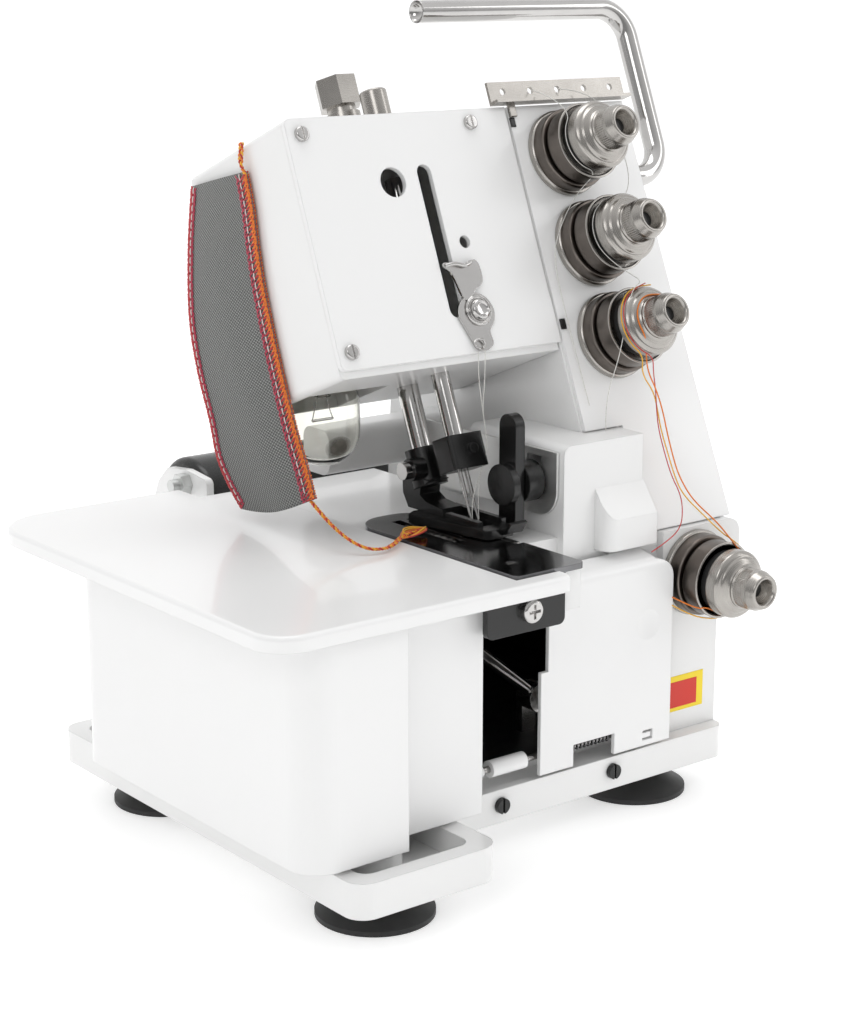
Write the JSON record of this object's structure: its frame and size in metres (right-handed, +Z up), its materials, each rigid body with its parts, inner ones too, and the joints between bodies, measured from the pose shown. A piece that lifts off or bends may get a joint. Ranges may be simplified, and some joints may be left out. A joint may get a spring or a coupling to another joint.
{
  "type": "overlock sewing machine",
  "caption": "Compact overlock sewing machine with tension dials, a carry handle, a cloth table and a hinged front cover.",
  "frame": {"origin": "on the surface the machine stands on, under the middle of its outline seen from above", "axes": "+X to the operator's right, +Y away from the operator, +Z up"},
  "size_m": [0.313, 0.2694, 0.3535],
  "materials": {
    "white_enamel": "glossy white enamel on cast metal",
    "white_sheet": "glossy white enamel on sheet metal",
    "black_plastic": "black moulded plastic",
    "black_metal": "black oxide finish",
    "rubber": "black rubber",
    "nickel": "satin nickel plating",
    "chrome": "polished chrome",
    "dark_steel": "dark polished steel",
    "tool_steel": "ground steel",
    "zinc": "zinc plated",
    "glass": "clear glass",
    "brass": "plain brass",
    "cloth": "grey woven cloth",
    "thread": "orange and yellow thread"
  },
  "bodies": {
    "frame": {"base_tray": "white_enamel", "base_set_screws": "black_metal", "suction_feet": "rubber", "machine_body": "white_enamel", "rear_cover": "white_sheet", "needle_plate": "dark_steel", "needle_plate_screw": "tool_steel", "lower_knife": "tool_steel", "plate_bracket": "black_metal", "bracket_screw": "chrome", "finger_guard": "tool_steel", "hinge_rod": "tool_steel", "cover_spring": "dark_steel", "head_casing": "white_enamel", "face_plate": "white_sheet", "face_plate_screws": "chrome", "face_thread_guide": "chrome", "thread_guide_screw": "chrome", "lamp_socket": "brass", "lamp_bulb": "glass", "needle_bar_cap": "nickel", "tension_panel": "white_sheet", "thread_guide_plate": "nickel", "tension_discs": "nickel", "tension_posts": "nickel", "carry_handle": "chrome", "shaft_bearings": "white_enamel", "motor": "black_plastic", "motor_bracket": "white_enamel", "motor_bolt": "zinc", "drive_belt": "rubber", "looper_pins": "tool_steel", "power_inlet": "black_plastic", "cloth_sample": "cloth", "thread_chain": "thread"},
    "handwheel": {"handwheel": "black_plastic", "main_shaft": "tool_steel"},
    "needle_carrier": {"needle_bar": "chrome", "needle_clamp": "black_metal", "needles": "chrome"},
    "upper_knife": {"upper_knife": "black_metal"},
    "knife_knob": {"knife_knob": "black_plastic"},
    "feed_dog": {"feed_dog": "tool_steel"},
    "lower_looper": {"lower_looper": "chrome"},
    "upper_looper": {"upper_looper": "chrome"},
    "motor_pulley": {"motor_pulley": "black_plastic"},
    "presser": {"presser_bar": "chrome", "foot_ankle": "black_metal", "foot_clamp_screw": "black_metal", "presser_foot": "black_metal"},
    "presser_lifter": {"presser_lifter": "chrome"},
    "hinge_bush": {"hinge_bush": "white_sheet"},
    "front_cover": {"front_cover": "white_sheet"},
    "cloth_table": {"cloth_table": "white_sheet", "side_cover": "white_sheet"},
    "pressure_screw": {"pressure_screw": "nickel"},
    "dial_1": {"tension_dial_1": "nickel"},
    "dial_2": {"tension_dial_2": "nickel"},
    "dial_3": {"tension_dial_3": "nickel"},
    "dial_4": {"tension_dial_4": "nickel"}
  },
  "joints": [
    {"name": "handwheel_turn", "type": "hinge", "parent": "frame", "child": "handwheel", "pos_m": [-0.0005, 0.00975, 0.078], "axis": [1, 0, 0], "range_deg": [0, 180]},
    {"name": "needle_bar_travel", "type": "slide", "parent": "frame", "child": "needle_carrier", "axis": [0, 0.3746, 0.9272], "range_m": [0, 0.025]},
    {"name": "upper_knife_travel", "type": "slide", "parent": "frame", "child": "upper_knife", "axis": [0, 0, 1], "range_m": [0, 0.006]},
    {"name": "knife_knob_turn", "type": "hinge", "parent": "upper_knife", "child": "knife_knob", "pos_m": [0.0145, -0.05825, 0.153], "axis": [1, 0, 0], "range_deg": [-180, 360]},
    {"name": "feed_travel", "type": "slide", "parent": "frame", "child": "feed_dog", "axis": [0, 1, 0], "range_m": [0, 0.003]},
    {"name": "lower_looper_swing", "type": "hinge", "parent": "frame", "child": "lower_looper", "pos_m": [0.0335, -0.05425, 0.052], "axis": [0, 1, 0], "range_deg": [-15, 0]},
    {"name": "upper_looper_swing", "type": "hinge", "parent": "frame", "child": "upper_looper", "pos_m": [0.0615, -0.04225, 0.074], "axis": [0, 1, 0], "range_deg": [0, 12]},
    {"name": "motor_pulley_turn", "type": "hinge", "parent": "frame", "child": "motor_pulley", "pos_m": [-0.0005, 0.11075, 0.118], "axis": [1, 0, 0], "range_deg": [0, 469.3]},
    {"name": "presser_lifter_turn", "type": "hinge", "parent": "frame", "child": "presser_lifter", "pos_m": [-0.0005, 0.05734, 0.23294], "axis": [1, 0, 0], "range_deg": [0, 60]},
    {"name": "presser_bar_lift", "type": "slide", "parent": "frame", "child": "presser", "axis": [0, 0.3746, 0.9272], "range_m": [0, 0.005]},
    {"name": "cover_release", "type": "slide", "parent": "frame", "child": "hinge_bush", "axis": [1, 0, 0], "range_m": [0, 0.0022], "stiffness_N_per_m": 300, "springref_m": -0.003},
    {"name": "front_cover_swing", "type": "hinge", "parent": "hinge_bush", "child": "front_cover", "pos_m": [0.0395, -0.08725, 0.0395], "axis": [1, 0, 0], "range_deg": [0, 75]},
    {"name": "cloth_table_slide", "type": "slide", "parent": "frame", "child": "cloth_table", "axis": [-1, 0, 0], "range_m": [0, 0.06]},
    {"name": "pressure_screw_turn", "type": "hinge", "parent": "frame", "child": "pressure_screw", "pos_m": [-0.0005, 0.03704, 0.29108], "axis": [0, 0.3746, 0.9272], "range_deg": [-180, 360]},
    {"name": "tension_dial_1_turn", "type": "hinge", "parent": "frame", "child": "dial_1", "pos_m": [0.0801, -0.01378, 0.28648], "axis": [0, -0.9272, 0.3746], "range_deg": [-160, 160]},
    {"name": "tension_dial_2_turn", "type": "hinge", "parent": "frame", "child": "dial_2", "pos_m": [0.0827, -0.02959, 0.24736], "axis": [0, -0.9272, 0.3746], "range_deg": [-160, 160]},
    {"name": "tension_dial_3_turn", "type": "hinge", "parent": "frame", "child": "dial_3", "pos_m": [0.0824, -0.04548, 0.20804], "axis": [0, -0.9272, 0.3746], "range_deg": [-160, 160]},
    {"name": "tension_dial_4_turn", "type": "hinge", "parent": "frame", "child": "dial_4", "pos_m": [0.1015, -0.08225, 0.104], "axis": [0, -1, 0], "range_deg": [-160, 160]}
  ],
  "couplings": [
    {"joint": "needle_bar_travel", "follows": "handwheel_turn", "m_per_rad": 0.0079577},
    {"joint": "upper_knife_travel", "follows": "handwheel_turn", "m_per_rad": 0.0019098},
    {"joint": "feed_travel", "follows": "handwheel_turn", "m_per_rad": 0.0009549},
    {"joint": "lower_looper_swing", "follows": "handwheel_turn", "ratio": -0.0833},
    {"joint": "upper_looper_swing", "follows": "handwheel_turn", "ratio": 0.0666},
    {"joint": "motor_pulley_turn", "follows": "handwheel_turn", "ratio": 2.6071},
    {"joint": "presser_bar_lift", "follows": "presser_lifter_turn", "m_per_rad": 0.0047746}
  ]
}
